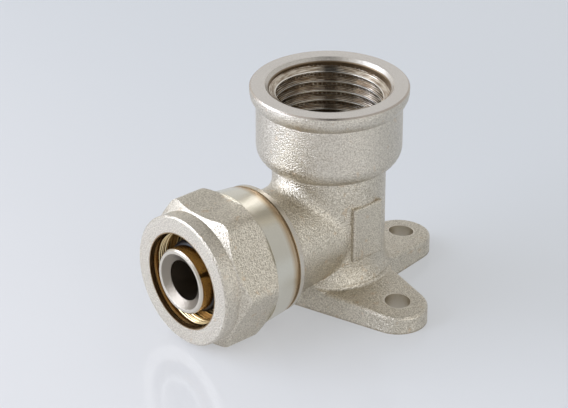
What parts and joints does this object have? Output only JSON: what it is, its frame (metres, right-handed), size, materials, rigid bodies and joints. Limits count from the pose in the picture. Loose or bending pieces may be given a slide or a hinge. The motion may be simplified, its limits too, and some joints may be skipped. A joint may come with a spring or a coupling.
{
  "type": "wall plate elbow",
  "caption": "Nickel-plated brass elbow on an eared wall plate: a threaded socket faces out, and a side branch holds a pipe in a compression nut.",
  "frame": {"origin": "on the plate's wall face, under the axis of the threaded socket", "axes": "+Z along the socket, away from the wall; -X along the pipe branch; +X, +Y and -Y towards the three ears"},
  "size_m": [0.0573, 0.0466, 0.0391],
  "materials": {
    "nickel_plated_brass": "blasted, nickel plated",
    "bare_brass": "turned, unplated",
    "black_rubber": "moulded",
    "white_plastic": "turned fluoroplastic"
  },
  "bodies": {
    "elbow": {"body": "nickel_plated_brass", "front_seal": "black_rubber", "rear_seal": "black_rubber", "insulating_washer": "white_plastic"},
    "ring": {"clamp_ring": "bare_brass"},
    "nut": {"compression_nut": "nickel_plated_brass"}
  },
  "joints": [
    {"name": "nut_travel", "type": "slide", "parent": "elbow", "child": "ring", "axis": [-1, 0, 0], "range_m": [0, 0.0075]},
    {"name": "nut_turn", "type": "hinge", "parent": "ring", "child": "nut", "pos_m": [-0.025, 0, 0.01255], "axis": [-1, 0, 0], "range_deg": [0, 1800]}
  ],
  "couplings": [
    {"joint": "nut_travel", "follows": "nut_turn", "m_per_rad": 0.00023873}
  ]
}
